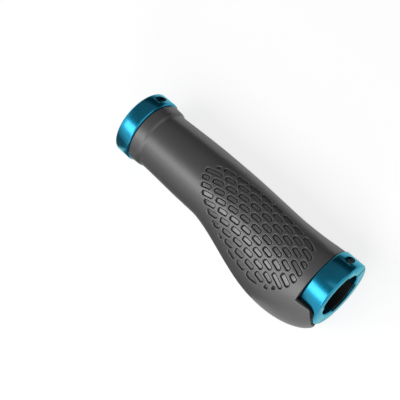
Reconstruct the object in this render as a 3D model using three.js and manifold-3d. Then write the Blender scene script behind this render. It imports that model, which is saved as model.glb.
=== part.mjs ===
// Ergonomic lock-on handlebar grip, in millimetres. +X runs along the bar toward the grip's outer end,
// the palm wing points to -Y, and +Z is up: the grip lies at rest on its two clamps and on the wing.
// Lengths called "station" are distances from the outer end face, measured toward the inner end.
// Angles round the bar start at the middle of the wing and grow toward the top of the grip.
import * as THREE from "three";
import { mergeVertices } from "three/addons/utils/BufferGeometryUtils.js";
import Module from "manifold-3d";

const kernel = await Module();
kernel.setup();
const { Manifold, Mesh: SolidMesh } = kernel;

// The bar and the whole grip
const barDiameter = 22.2;
const boreClearance = 0.2;
const gripLength = 130;
const pieceGap = 0.3;
const faceGap = 0.15;

// Clamps
const clampDiameter = 34;
const outerClampWidth = 10.5;
const innerClampWidth = 8.7;
const clampChamfer = 0.6;
const clampBoreChamfer = 0.4;
const slitAngle = 199.5;
const slitWidth = 1.2;

// Tabs of the core, which key into recesses of the clamps
const tabWall = 1.5;
const tabSpan = 82;
const recessSpan = 86;
const tabAngles = [103, 283];
const tabSetback = 0.8;

// Clamp screws
const screwOffset = 13.6;
const screwHeadDiameter = 3.6;
const screwHeadHeight = 2.4;
const screwShankDiameter = 2.4;
const screwSeat = 3.9;
const screwReach = 6.8;
const screwHoleDepth = 7.6;
const screwHeadChamfer = 0.3;
const socketWidth = 2;
const socketDepth = 1.3;

// Core
const flangeThickness = 0.7;
const flangeDiameter = 28.8;

// Rubber sleeve: radius on the side away from the wing, by station
const backRadii = [
  [0, 16.6],
  [11, 16.4],
  [22, 15.5],
  [34, 15.1],
  [48, 15.55],
  [62, 16.05],
  [76, 16.17],
  [90, 16.05],
  [103, 15.55],
  [112.4, 15.1],
  [114.4, 15.1],
  [116.5, 15.85],
  [118.6, 16.15],
  [122, 16.4],
];

// Palm wing: its crest stands highest at one station and fades out toward both ends
const wingRoot = 15.25;
const wingHeight = 12.9;
const crestStation = 27;
const crestNearLength = 27.6;
const crestFarLength = 61;
const wingBlend = 0.3;
const upperWingSpan = 50;
const lowerWingSpan = 36;
const upperWingFlare = 10;
const lowerWingFlare = 6;
const flareLength = 28;

// Tongue of the wing, which runs on over the outer clamp, and the rim of the core under it
const rimWall = 0.6;
const rimMargin = 0.5;
const tongueSetback = 0.8;
const tongueUpperAngle = 57.5;
const tongueLowerAngle = -12;
const tongueCornerLength = 4;

// Patch of recessed pockets on the sleeve: outline as [station, angle] corners of a smooth closed curve
const patchCorners = [
  [81.5, 121],
  [76.5, 84],
  [61.5, 49],
  [41, 34.5],
  [25.5, 40.5],
  [16.6, 64],
  [15.3, 95],
  [19.3, 134.5],
  [34, 153],
  [50, 158],
  [70, 149],
];
const patchMiddle = 49;
const pocketColumn = 48.1;
const firstRowAngle = 150;
const rowCount = 10;
const rowPitch = 3.6;
const rowBend = 0.0195;
const lowRowAngle = 75;
const lowRowSpan = 30;
const lowRowShift = 6;
const pocketPitch = 7;
const pocketLength = 5.5;
const pocketHeight = 2.6;
const pocketCorner = 1.1;
const pocketLeast = 1.6;
const pocketDepth = 1;
const pocketTaper = 0.2;

// Fineness of the curved surfaces
const ringFacets = 60;
const sleeveFacets = 60;
const sleeveStep = 4;
const endSteps = [0.7, 1.6, 3, 4.8, 6.8];
const screwFacets = 16;
const cornerFacets = 6;
const pocketCornerFacets = 1;
const outlineFacets = 40;
const angleStep = 0.5;
const shortestEdge = 0.05;
const weldDistance = 1e-4;
const overcut = 2;

// Sizes that follow from the ones above
const boreRadius = (barDiameter + boreClearance) / 2;
const clampRadius = clampDiameter / 2;
const tabRadius = boreRadius + tabWall;
const recessRadius = tabRadius + pieceGap;
const sleeveBoreRadius = tabRadius + pieceGap;
const rimRadius = clampRadius + pieceGap;
const tongueRadius = rimRadius + rimWall + pieceGap;
const coreStart = outerClampWidth + faceGap;
const coreEnd = gripLength - innerClampWidth - faceGap;
const sleeveStart = coreStart + faceGap;
const sleeveEnd = coreEnd - faceGap;
const seatStart = coreStart + flangeThickness + faceGap;
const seatEnd = coreEnd - flangeThickness - faceGap;
const cutRadius = 2 * (wingRoot + wingHeight);

// Smooth curve through a table of [station, value] rows.
function alongTable(table, station) {
  const last = table.length - 1;
  let row = 0;
  while (row < last - 1 && station > table[row + 1][0]) row += 1;
  const slope = (index) => {
    const before = table[Math.max(index - 1, 0)];
    const after = table[Math.min(index + 1, last)];
    return (after[1] - before[1]) / (after[0] - before[0]);
  };
  const [start, startValue] = table[row];
  const [end, endValue] = table[row + 1];
  const step = end - start;
  const t = THREE.MathUtils.clamp((station - start) / step, 0, 1);
  const ease = t * t * (3 - 2 * t);
  const leave = slope(row) * step * t * (1 - t) ** 2;
  const arrive = slope(row + 1) * step * t * t * (t - 1);
  return startValue + (endValue - startValue) * ease + leave + arrive;
}

// Height of the wing's crest over the round body at a station, never below zero.
function crestHeight(station) {
  const offset = station - crestStation;
  const near = Math.sqrt(Math.max(0, 1 - (offset / crestNearLength) ** 2));
  const far = (1 + Math.cos(Math.PI * Math.min(1, offset / crestFarLength))) / 2;
  const reach = wingRoot + wingHeight * (offset < 0 ? near : far);
  const rise = reach - alongTable(backRadii, station);
  return (rise + Math.hypot(rise, wingBlend)) / 2;
}

// Radius of the rubber at a station and at an angle from the middle of the wing.
function sleeveRadius(station, angle) {
  const around = THREE.MathUtils.euclideanModulo(angle + 180, 360) - 180;
  const flare = THREE.MathUtils.clamp((flareLength - station) / flareLength, 0, 1);
  const upper = upperWingSpan + upperWingFlare * flare;
  const lower = lowerWingSpan + lowerWingFlare * flare;
  const share = around / (around >= 0 ? upper : lower);
  return alongTable(backRadii, station) + crestHeight(station) * Math.exp(-share * share);
}

// How far the rubber reaches below the bar axis when the wing points down by an angle.
function wingDrop(dip) {
  let drop = 0;
  for (let station = 0; station < sleeveEnd; station += 1)
    for (let angle = -90; angle <= 90; angle += 1) {
      const down = Math.sin(THREE.MathUtils.degToRad(dip - angle));
      drop = Math.max(drop, sleeveRadius(station, angle) * down);
    }
  return drop;
}

// Angle by which the wing dips below level when it and the clamps all touch the floor.
function restingDip() {
  let [high, low] = [0, 90];
  while (low - high > 0.01) {
    const middle = (high + low) / 2;
    if (wingDrop(middle) > clampRadius) low = middle;
    else high = middle;
  }
  return high;
}

const wingDip = restingDip();

// Point at a station, angle and radius in the grip's own frame.
function pointAt(station, angle, radius) {
  const turn = THREE.MathUtils.degToRad(angle - wingDip);
  const across = -radius * Math.cos(turn);
  return new THREE.Vector3(gripLength / 2 - station, across, radius * Math.sin(turn));
}

// Closed solid of a three.js geometry.
function solid(geometry) {
  const bare = new THREE.BufferGeometry();
  bare.setAttribute("position", geometry.getAttribute("position"));
  bare.setIndex(geometry.index);
  const welded = mergeVertices(bare, weldDistance);
  const corners = [];
  const found = welded.index.array;
  for (let i = 0; i < found.length; i += 3) {
    const [a, b, c] = found.slice(i, i + 3);
    if (a !== b && b !== c && c !== a) corners.push(a, b, c);
  }
  const vertProperties = welded.getAttribute("position").array;
  return new Manifold(
    new SolidMesh({ numProp: 3, vertProperties, triVerts: new Uint32Array(corners) }),
  );
}

// Turns a geometry made at angle 0 with +X along the bar to an angle round the bar.
function turned(geometry, angle) {
  return geometry.rotateX(-THREE.MathUtils.degToRad(angle - wingDip));
}

// Body of revolution about the bar from a closed outline of [station, radius] corners.
function turnedBody(outline) {
  const closed = [...outline, outline[0]];
  const points = closed.map(([at, r]) => new THREE.Vector2(r, gripLength / 2 - at));
  return solid(new THREE.LatheGeometry(points, ringFacets).rotateZ(-Math.PI / 2));
}

// Round tube between two stations.
function tube(start, end, inner, outer) {
  return turnedBody([
    [end, inner],
    [end, outer],
    [start, outer],
    [start, inner],
  ]);
}

// Full cylinder between two stations.
function rod(start, end, radius) {
  const length = end - start;
  const round = new THREE.CylinderGeometry(radius, radius, length, ringFacets);
  return solid(round.rotateZ(-Math.PI / 2).translate(gripLength / 2 - start - length / 2, 0, 0));
}

// Prism over an outline of [station, angle] corners, from its lower points to its upper ones.
function prism(outline, lowerPoints, upperPoints) {
  const flat = outline.map(([station, angle]) => new THREE.Vector2(-station, angle));
  const count = flat.length;
  const turnedBack = THREE.ShapeUtils.isClockWise(flat);
  if (turnedBack) flat.reverse();
  const points = [lowerPoints, upperPoints].flatMap((ring) => (turnedBack ? ring.toReversed() : ring));
  const faces = [];
  for (const [a, b, c] of THREE.ShapeUtils.triangulateShape(flat, []))
    faces.push(a, c, b, a + count, b + count, c + count);
  for (let i = 0; i < count; i += 1) {
    const next = (i + 1) % count;
    faces.push(i, next, next + count, i, next + count, i + count);
  }
  return solid(new THREE.BufferGeometry().setFromPoints(points).setIndex(faces));
}

// Prism with radial walls over an outline of [station, angle] corners.
function radialPrism(outline, innerRadius, outerRadius) {
  const ring = (radius) => outline.map(([station, angle]) => pointAt(station, angle, radius));
  return prism(outline, ring(innerRadius), ring(outerRadius));
}

// Wedge between two stations and two radial walls, centred on an angle.
function wedge(start, end, centre, span) {
  const [low, high] = [centre - span / 2, centre + span / 2];
  const outline = [
    [start, low],
    [end, low],
    [end, high],
    [start, high],
  ];
  return radialPrism(outline, boreRadius / 2, cutRadius);
}

// Moves a geometry whose +Y is the way a screw's head looks to its place at the slit of a clamp.
function atScrew(geometry, station) {
  geometry.rotateX(-Math.PI / 2).translate(gripLength / 2 - station, -screwOffset, 0);
  return turned(geometry, slitAngle);
}

// Upright cylinder between two heights on a screw's axis.
function pin(bottom, top, radius, facets = screwFacets) {
  const height = top - bottom;
  return new THREE.CylinderGeometry(radius, radius, height, facets).translate(
    0,
    bottom + height / 2,
    0,
  );
}

// Split clamp ring with tab recesses and a cross hole for its screw.
function clamp(start, width) {
  const end = start + width;
  const ring = turnedBody([
    [end, boreRadius + clampBoreChamfer],
    [end, clampRadius - clampChamfer],
    [end - clampChamfer, clampRadius],
    [start + clampChamfer, clampRadius],
    [start, clampRadius - clampChamfer],
    [start, boreRadius + clampBoreChamfer],
    [start + clampBoreChamfer, boreRadius],
    [end - clampBoreChamfer, boreRadius],
  ]);
  const slit = new THREE.BoxGeometry(width + overcut, clampRadius, slitWidth);
  slit.translate(gripLength / 2 - start - width / 2, -clampRadius, 0);
  const middle = start + width / 2;
  const headHole = pin(screwSeat, clampRadius, screwHeadDiameter / 2 + pieceGap);
  const shankHole = pin(-screwHoleDepth, clampRadius, screwShankDiameter / 2 + pieceGap);
  const recessRod = rod(start - overcut, end + overcut, recessRadius);
  const recesses = tabAngles.map((angle) =>
    recessRod.intersect(wedge(start - 2 * overcut, end + 2 * overcut, angle, recessSpan)),
  );
  return Manifold.difference([
    ring,
    solid(turned(slit, slitAngle)),
    solid(atScrew(headHole, middle)),
    solid(atScrew(shankHole, middle)),
    ...recesses,
  ]);
}

// Socket-head screw that closes a clamp.
function clampScrew(start, width) {
  const middle = start + width / 2;
  const headRadius = screwHeadDiameter / 2;
  const shankRadius = screwShankDiameter / 2;
  const top = screwSeat + screwHeadHeight;
  const outline = [
    [0, -screwReach],
    [shankRadius - screwHeadChamfer, -screwReach],
    [shankRadius, screwHeadChamfer - screwReach],
    [shankRadius, screwSeat],
    [headRadius, screwSeat],
    [headRadius, top - screwHeadChamfer],
    [headRadius - screwHeadChamfer, top],
    [0, top],
  ].map(([r, height]) => new THREE.Vector2(r, height));
  const body = new THREE.LatheGeometry(outline, screwFacets);
  const hexagonRadius = socketWidth / Math.sqrt(3);
  const socket = pin(top - socketDepth, top + overcut, hexagonRadius, 6);
  return solid(atScrew(body, middle)).subtract(solid(atScrew(socket, middle)));
}

// Outline of the tongue over the outer clamp, grown by a margin, with round corners at the outer end.
function tongueOutline(margin, setback) {
  const degreesPerLength = THREE.MathUtils.radToDeg(1 / tongueRadius);
  const upper = tongueUpperAngle + margin * degreesPerLength;
  const lower = tongueLowerAngle - margin * degreesPerLength;
  const corner = tongueCornerLength + margin;
  const cornerAngle = corner * degreesPerLength;
  const outline = [[sleeveStart + overcut, lower]];
  for (const [edge, inward, first] of [
    [lower, 1, 0],
    [upper, -1, 1],
  ])
    for (let i = 0; i <= cornerFacets; i += 1) {
      const turn = (Math.PI / 2) * Math.abs(first - i / cornerFacets);
      outline.push([
        setback + corner * (1 - Math.sin(turn)),
        edge + inward * cornerAngle * (1 - Math.cos(turn)),
      ]);
    }
  outline.push([sleeveStart + overcut, upper]);
  return outline;
}

// Hard core under the rubber: tube, two end flanges, clamp tabs and the rim under the tongue.
function core() {
  const flangeRadius = flangeDiameter / 2;
  const flangeInner = coreStart + flangeThickness;
  const flangeOuter = coreEnd - flangeThickness;
  const insideBore = (boreRadius + tabRadius) / 2;
  const rim = tube(tongueSetback, flangeInner, rimRadius, rimRadius + rimWall);
  const rimFlange = tube(coreStart, flangeInner, flangeRadius - rimWall, rimRadius + rimWall);
  const rimOutline = tongueOutline(rimMargin, tongueSetback);
  const tongueZone = radialPrism(rimOutline, boreRadius, cutRadius);
  const keyed = tube(tabSetback, gripLength - tabSetback, boreRadius, tabRadius);
  const tabs = tabAngles.map((angle) =>
    keyed.intersect(wedge(-overcut, gripLength + overcut, angle, tabSpan)),
  );
  return Manifold.union([
    tube(coreStart, coreEnd, boreRadius, tabRadius),
    tube(coreStart, flangeInner, insideBore, flangeRadius),
    tube(flangeOuter, coreEnd, insideBore, flangeRadius),
    Manifold.union([rim, rimFlange]).intersect(tongueZone),
    ...tabs,
  ]);
}

// Stations of the rubber's sections, closer together near both ends.
function sleeveStations() {
  const first = endSteps.map((step) => tongueSetback + step);
  const last = endSteps.map((step) => sleeveEnd - step).reverse();
  const start = first[first.length - 1];
  const steps = Math.ceil((last[0] - start) / sleeveStep);
  const between = [];
  for (let i = 1; i < steps; i += 1) between.push(start + ((last[0] - start) * i) / steps);
  return [tongueSetback, ...first, ...between, ...last, sleeveEnd];
}

// Full body of the rubber before its bore and its clamp end are cut.
function sleeveBody() {
  const stations = sleeveStations();
  const points = [];
  for (const station of stations)
    for (let i = 0; i < sleeveFacets; i += 1) {
      const angle = (360 * i) / sleeveFacets;
      points.push(pointAt(station, angle, sleeveRadius(station, angle)));
    }
  const faces = [];
  for (let ring = 1; ring < stations.length; ring += 1)
    for (let i = 0; i < sleeveFacets; i += 1) {
      const next = (i + 1) % sleeveFacets;
      const near = (ring - 1) * sleeveFacets;
      const far = ring * sleeveFacets;
      faces.push(near + i, near + next, far + next, near + i, far + next, far + i);
    }
  const nearCentre = points.push(pointAt(stations[0], 0, 0)) - 1;
  const farCentre = points.push(pointAt(stations[stations.length - 1], 0, 0)) - 1;
  const lastRing = (stations.length - 1) * sleeveFacets;
  for (let i = 0; i < sleeveFacets; i += 1) {
    const next = (i + 1) % sleeveFacets;
    faces.push(nearCentre, next, i, farCentre, lastRing + i, lastRing + next);
  }
  return solid(new THREE.BufferGeometry().setFromPoints(points).setIndex(faces));
}

// Length over the rubber's surface of one degree round the bar.
function degreeLength(station, angle) {
  const rise = sleeveRadius(station, angle + angleStep) - sleeveRadius(station, angle - angleStep);
  const turn = THREE.MathUtils.degToRad(1);
  return Math.hypot(sleeveRadius(station, angle) * turn, rise / (2 * angleStep));
}

// Angles of the pocket rows at the patch's middle station, one pitch apart over the surface.
function rowAngles() {
  const angles = [firstRowAngle];
  let angle = firstRowAngle;
  while (angles.length < rowCount) {
    let left = rowPitch;
    while (left > 0) {
      left -= degreeLength(patchMiddle, angle) * angleStep;
      angle -= angleStep;
    }
    angles.push(angle - left / degreeLength(patchMiddle, angle));
    angle = angles[angles.length - 1];
  }
  return angles;
}

// Corners of the patch outline along its smooth curve.
function patchOutline() {
  const corners = patchCorners.map(([station, angle]) => new THREE.Vector3(station, angle, 0));
  const curve = new THREE.CatmullRomCurve3(corners, true, "catmullrom");
  return curve.getPoints(outlineFacets).slice(0, -1);
}

// Stations where a row enters and leaves the patch.
function rowEnds(outline, rowAngle) {
  const crossings = [];
  outline.forEach((corner, i) => {
    const next = outline[(i + 1) % outline.length];
    const above = (point) => point.y - bentRow(rowAngle, point.x);
    const [here, there] = [above(corner), above(next)];
    if (here * there < 0)
      crossings.push(THREE.MathUtils.lerp(corner.x, next.x, here / (here - there)));
  });
  return [Math.min(...crossings), Math.max(...crossings)];
}

// Station at which a row stands highest: the low rows, on the wing, have it nearer the outer end.
function rowMiddle(rowAngle) {
  const share = THREE.MathUtils.clamp((lowRowAngle - rowAngle) / lowRowSpan, 0, 1);
  return patchMiddle - lowRowShift * share;
}

// Angle of a row at a station: rows sag toward both ends.
function bentRow(rowAngle, station) {
  return rowAngle - rowBend * (station - rowMiddle(rowAngle)) ** 2;
}

// Part of a convex outline on the inner side of a line, given by its outward normal and its distance.
function clipped(outline, normal, distance) {
  const kept = [];
  outline.forEach((corner, i) => {
    const next = outline[(i + 1) % outline.length];
    const [here, there] = [corner, next].map((point) => point.dot(normal) - distance);
    if (here <= 0) kept.push(corner);
    if (here * there < 0) kept.push(corner.clone().lerp(next, here / (here - there)));
  });
  return kept;
}

// Slope of a row against the bar's direction, as a length across for each length along.
function rowLean(rowAngle, station, scale) {
  return -2 * rowBend * (station - rowMiddle(rowAngle)) * scale;
}

// Convex core of a pocket, in lengths along and across its row. Grown by the corner radius it gives
// the pocket's outline, which ends at the patch's outline.
function pocketCore(outline, rowAngle, start, end) {
  const middle = (start + end) / 2;
  const scale = degreeLength(middle, bentRow(rowAngle, middle));
  const lean = rowLean(rowAngle, middle, scale);
  const halfLength = Math.max((end - start) / 2 - pocketCorner, shortestEdge);
  const halfHeight = pocketHeight / 2 - pocketCorner;
  const flat = (corner) => {
    const across = ((corner.y - bentRow(rowAngle, corner.x)) * scale) / (1 + lean * lean);
    return new THREE.Vector2(corner.x - middle + lean * across, across);
  };
  let core = [
    new THREE.Vector2(-halfLength, -halfHeight),
    new THREE.Vector2(halfLength, -halfHeight),
    new THREE.Vector2(halfLength, halfHeight),
    new THREE.Vector2(-halfLength, halfHeight),
  ];
  outline.forEach((corner, i) => {
    const [here, next] = [flat(corner), flat(outline[(i + 1) % outline.length])];
    const edge = next.clone().sub(here).normalize();
    const normal = new THREE.Vector2(-edge.y, edge.x);
    if (normal.dot(here) < 0) normal.negate();
    core = clipped(core, normal, normal.dot(here) - pocketCorner);
  });
  core = core.filter((corner, i) => {
    const next = core[(i + 1) % core.length];
    return corner.distanceTo(next) > shortestEdge;
  });
  return { core, middle, rowAngle, scale, lean };
}

// Outline of a pocket as [station, angle] corners: its core grown by a radius, with round corners.
function pocketOutline({ core, middle, rowAngle, scale, lean }, radius) {
  const outline = [];
  core.forEach((corner, i) => {
    const before = core[(i + core.length - 1) % core.length];
    const after = core[(i + 1) % core.length];
    const from = Math.atan2(before.x - corner.x, corner.y - before.y);
    const to = Math.atan2(corner.x - after.x, after.y - corner.y);
    const turn = THREE.MathUtils.euclideanModulo(to - from, 2 * Math.PI);
    for (let step = 0; step <= pocketCornerFacets; step += 1) {
      const angle = from + (turn * step) / pocketCornerFacets;
      const along = middle + corner.x + radius * Math.cos(angle);
      const across = corner.y + radius * Math.sin(angle);
      outline.push([along - lean * across, bentRow(rowAngle, along) + across / scale]);
    }
  });
  return outline;
}

// Cores of all the pockets: a row's end pocket runs on to the patch's outline where the next one
// would be too short.
function pocketCores() {
  const outline = patchOutline();
  return rowAngles().flatMap((rowAngle, row) => {
    const [low, high] = rowEnds(outline, rowAngle);
    const first = pocketColumn + (row % 2 === 0 ? pocketPitch / 2 : 0);
    const from = Math.ceil((low + pocketLeast - first - pocketLength / 2) / pocketPitch);
    const to = Math.floor((high - pocketLeast - first + pocketLength / 2) / pocketPitch);
    const cores = [];
    for (let column = from; column <= to; column += 1) {
      const middle = first + column * pocketPitch;
      const start = column === from ? low : middle - pocketLength / 2;
      const end = column === to ? high : middle + pocketLength / 2;
      cores.push(pocketCore(outline, rowAngle, start, end));
    }
    return cores.filter(({ core }) => core.length > 2);
  });
}

// Tool that cuts one pocket: its walls lean inward down to its floor.
function pocketTool(pocket) {
  const corner = (grow, lift) =>
    pocketOutline(pocket, pocketCorner + grow).map(([station, angle]) =>
      pointAt(station, angle, sleeveRadius(station, angle) + lift),
    );
  const outline = pocketOutline(pocket, pocketCorner);
  return prism(outline, corner(-pocketTaper, -pocketDepth), corner(pocketTaper, pocketDepth));
}

// Rubber sleeve with its wing, bore and tongue. It covers the core's flanges and stays clear of the rim.
function sleeve() {
  const tongueZone = radialPrism(tongueOutline(0, tongueSetback), boreRadius, cutRadius);
  const overClamp = tongueZone.subtract(rod(-overcut, sleeveStart + overcut, tongueRadius));
  const clampZone = rod(-overcut, sleeveStart, cutRadius).subtract(overClamp);
  const besideRim = tongueOutline(rimMargin + pieceGap, tongueSetback);
  const rimZone = rod(-overcut, seatStart, tongueRadius);
  const flangeSeatRadius = flangeDiameter / 2 + pieceGap;
  return Manifold.difference([
    sleeveBody(),
    rod(-overcut, gripLength + overcut, sleeveBoreRadius),
    rod(-overcut, seatStart, flangeSeatRadius),
    rod(seatEnd, gripLength + overcut, flangeSeatRadius),
    rimZone.intersect(radialPrism(besideRim, boreRadius, cutRadius)),
    clampZone,
    ...pocketCores().map(pocketTool),
  ]);
}

const rubber = new THREE.MeshStandardMaterial({ color: 0x4a4a4c, roughness: 0.85 });
const blackPlastic = new THREE.MeshStandardMaterial({ color: 0x0c0c0d, roughness: 0.6 });
const blueAluminium = new THREE.MeshStandardMaterial({
  color: 0x1f8fb8,
  metalness: 0.9,
  roughness: 0.3,
});
const darkSteel = new THREE.MeshStandardMaterial({
  color: 0x3a3d40,
  metalness: 0.9,
  roughness: 0.4,
});

// Named mesh of a finished solid.
function piece(name, shape, material) {
  const { vertProperties, triVerts } = shape.getMesh();
  const geometry = new THREE.BufferGeometry();
  geometry.setAttribute("position", new THREE.BufferAttribute(vertProperties, 3));
  geometry.setIndex(new THREE.BufferAttribute(triVerts, 1));
  geometry.computeVertexNormals();
  const mesh = new THREE.Mesh(geometry, material);
  mesh.name = name;
  return mesh;
}

const innerClampStart = gripLength - innerClampWidth;
const grip = new THREE.Group();
grip.name = "handlebar_grip";
grip.add(
  piece("rubber_sleeve", sleeve(), rubber),
  piece("core_sleeve", core(), blackPlastic),
  piece("outer_clamp", clamp(0, outerClampWidth), blueAluminium),
  piece("inner_clamp", clamp(innerClampStart, innerClampWidth), blueAluminium),
  piece("outer_clamp_screw", clampScrew(0, outerClampWidth), darkSteel),
  piece("inner_clamp_screw", clampScrew(innerClampStart, innerClampWidth), darkSteel),
);

// The origin is the middle of the grip's box, at floor level.
const box = new THREE.Box3().setFromObject(grip);
const middle = box.getCenter(new THREE.Vector3());
for (const mesh of grip.children)
  mesh.geometry.translate(-middle.x, -middle.y, -box.min.z);

export default grip;
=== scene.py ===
# Looks of an ergonomic lock-on handlebar grip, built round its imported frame.
import math
from functools import partial

import bmesh
import bpy
import numpy as np
from mathutils import Matrix, Vector


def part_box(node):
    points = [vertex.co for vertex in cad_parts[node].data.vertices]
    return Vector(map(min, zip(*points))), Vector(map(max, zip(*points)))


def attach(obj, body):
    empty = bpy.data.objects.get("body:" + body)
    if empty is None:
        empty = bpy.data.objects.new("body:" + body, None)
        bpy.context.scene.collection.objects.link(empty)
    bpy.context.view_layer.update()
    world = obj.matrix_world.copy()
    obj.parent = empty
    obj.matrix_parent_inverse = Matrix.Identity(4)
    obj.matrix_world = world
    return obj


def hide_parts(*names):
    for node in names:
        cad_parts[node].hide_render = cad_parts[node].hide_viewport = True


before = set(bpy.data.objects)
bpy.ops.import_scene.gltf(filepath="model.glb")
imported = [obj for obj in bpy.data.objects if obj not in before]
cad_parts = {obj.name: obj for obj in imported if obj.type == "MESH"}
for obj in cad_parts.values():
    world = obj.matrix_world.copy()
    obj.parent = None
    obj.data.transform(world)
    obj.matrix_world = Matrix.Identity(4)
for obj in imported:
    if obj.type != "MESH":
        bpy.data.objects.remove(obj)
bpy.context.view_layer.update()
scene = bpy.context.scene
millimetre = 0.001

# the bar's line, the outer end face and the clamps' radius come from the frame
innerLow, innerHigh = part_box("inner_clamp")
barY = (innerLow.y + innerHigh.y) / 2
barZ = (innerLow.z + innerHigh.z) / 2
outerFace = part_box("outer_clamp")[1].x
clampRadius = (innerHigh.z - innerLow.z) / 2 / millimetre
print("frame loaded")


def newObject(name, data):
    item = bpy.data.objects.new(name, data)
    scene.collection.objects.link(item)
    return item


def newMesh(name, points, faces=()):
    mesh = bpy.data.meshes.new(name)
    mesh.from_pydata(points, [], faces)
    return mesh


def storeValues(mesh, name, values):
    mesh.attributes.new(name, "FLOAT", "POINT").data.foreach_set("value", values)


def smoothStep(t):
    return t * t * (3 - 2 * t)


# shape of the rubber, in millimetres and degrees from the middle of the wing
sleeve = {
    "backRadii": [
        (0, 16.6), (11, 16.4), (22, 15.5), (34, 15.1), (48, 15.55), (62, 16.05), (76, 16.17),
        (90, 16.05), (103, 15.55), (112.2, 15.12), (114.1, 15.02), (114.7, 15.12), (115.4, 15.72),
        (116.3, 16.0), (118.6, 16.15), (122, 16.4),
    ],
    "wingRoot": 15.25,
    "wingHeight": 12.9,
    "crestStation": 27,
    "crestNearLength": 27.6,
    "crestFarLength": 61,
    "wingBlend": 0.3,
    "upperSpan": 50,
    "lowerSpan": 36,
    "upperFlare": 10,
    "lowerFlare": 6,
    "flareLength": 28,
    "start": 10.8,
    "end": 121.0,
    "seatStart": 11.5,
    "seatEnd": 120.3,
    "seatRadius": 14.7,
    "boreRadius": 13.0,
    "tongueStart": 0.8,
    "tongueRadius": 18.2,
    "tongueUpper": 57.5,
    "tongueLower": -12,
    "tongueCorner": 4,
    "besideTongue": 0.8,
    "leastWall": 0.45,
    "edgeRadius": 0.4,
    "edgeAngles": (0, 22.5, 45, 67.5, 90),
    "inset": 0.05,
    "sharpAngle": 60,
}


def alongTable(table, station):
    # smooth curve through (station, value) rows
    xs, ys = np.array(table, float).T
    slopes = np.empty(len(xs))
    slopes[1:-1] = (ys[2:] - ys[:-2]) / (xs[2:] - xs[:-2])
    slopes[0] = (ys[1] - ys[0]) / (xs[1] - xs[0])
    slopes[-1] = (ys[-1] - ys[-2]) / (xs[-1] - xs[-2])
    row = np.clip(np.searchsorted(xs, station, side="right") - 1, 0, len(xs) - 2)
    step = xs[row + 1] - xs[row]
    t = np.clip((station - xs[row]) / step, 0, 1)
    leave = slopes[row] * step * t * (1 - t) ** 2
    arrive = slopes[row + 1] * step * t * t * (t - 1)
    return ys[row] + (ys[row + 1] - ys[row]) * smoothStep(t) + leave + arrive


def crestHeight(station):
    offset = station - sleeve["crestStation"]
    near = np.sqrt(np.clip(1 - (offset / sleeve["crestNearLength"]) ** 2, 0, 1))
    far = (1 + np.cos(np.pi * np.clip(offset / sleeve["crestFarLength"], 0, 1))) / 2
    reach = sleeve["wingRoot"] + sleeve["wingHeight"] * np.where(offset < 0, near, far)
    rise = reach - alongTable(sleeve["backRadii"], station)
    return (rise + np.hypot(rise, sleeve["wingBlend"])) / 2


def sleeveRadius(station, angle):
    station = np.asarray(station, float)
    around = (np.asarray(angle, float) + 180) % 360 - 180
    flare = np.clip((sleeve["flareLength"] - station) / sleeve["flareLength"], 0, 1)
    upper = sleeve["upperSpan"] + sleeve["upperFlare"] * flare
    lower = sleeve["lowerSpan"] + sleeve["lowerFlare"] * flare
    share = around / np.where(around >= 0, upper, lower)
    return alongTable(sleeve["backRadii"], station) + crestHeight(station) * np.exp(-share * share)


def restingDip():
    # angle by which the wing dips below level when it and both clamps touch the floor
    stations, angles = np.meshgrid(np.arange(0, sleeve["end"], 1.0), np.arange(-90, 91, 1.0))
    radii = sleeveRadius(stations, angles)
    high, low = 0.0, 90.0
    while low - high > 0.01:
        middle = (high + low) / 2
        drop = (radii * np.sin(np.radians(middle - angles))).max()
        high, low = (high, middle) if drop > clampRadius else (middle, low)
    return high


wingDip = restingDip()


def placeAt(station, angle, radius):
    # points in metres in the grip's frame
    turn = np.radians(np.asarray(angle, float) - wingDip)
    x = outerFace - np.asarray(station, float) * millimetre
    y = barY - radius * millimetre * np.cos(turn)
    z = barZ + radius * millimetre * np.sin(turn)
    return np.stack(np.broadcast_arrays(x, y, z), axis=-1)


def degreeLength(station, angle):
    # length over the surface of one degree round the bar
    rise = sleeveRadius(station, angle + 0.5) - sleeveRadius(station, angle - 0.5)
    return np.hypot(sleeveRadius(station, angle) * np.radians(1), rise)


# patch of pockets, in millimetres and degrees too
patch = {
    "corners": [
        (81.5, 121), (76.5, 84), (61.5, 49), (41, 34.5), (25.5, 40.5), (16.6, 64), (15.3, 95),
        (19.3, 134.5), (34, 153), (50, 158), (70, 149),
    ],
    "middle": 49,
    "firstRowAngle": 150,
    "rowCount": 10,
    "rowPitch": 3.6,
    "rowBend": 0.0195,
    "fadeLow": -40,
    "fadeLowSpan": 68,
    "fadeHigh": 235,
    "fadeHighSpan": 70,
    "lowRowAngle": 75,
    "lowRowSpan": 30,
    "lowRowShift": 6,
    "columnStart": 48.1,
    "pocketPitch": 7,
    "pocketLength": 5.5,
    "pocketHeight": 2.6,
    "cornerRadius": 1.1,
    "pocketLeast": 1.6,
    "pocketDepth": 0.6,
    "wallWidth": 0.22,
    "wallBlend": 0.15,
    "trenchMiddle": 0.22,
    "trenchWidth": 0.46,
    "trenchDepth": 0.65,
    "trenchGain": 1.6,
    "trenchBlend": 0.3,
    "rimWidth": 0.22,
    "rimDrop": 0.06,
    "cutSlope": 0.75,
    "cutBlend": 0.2,
    "nearEnd": 14.6,
    "farEnd": 82.4,
    "outlinePoints": 120,
    "beyondRows": 10,
    "offSkin": -9,
}


def rowMiddle(rowAngle):
    share = np.clip((patch["lowRowAngle"] - rowAngle) / patch["lowRowSpan"], 0, 1)
    return patch["middle"] - patch["lowRowShift"] * share


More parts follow.
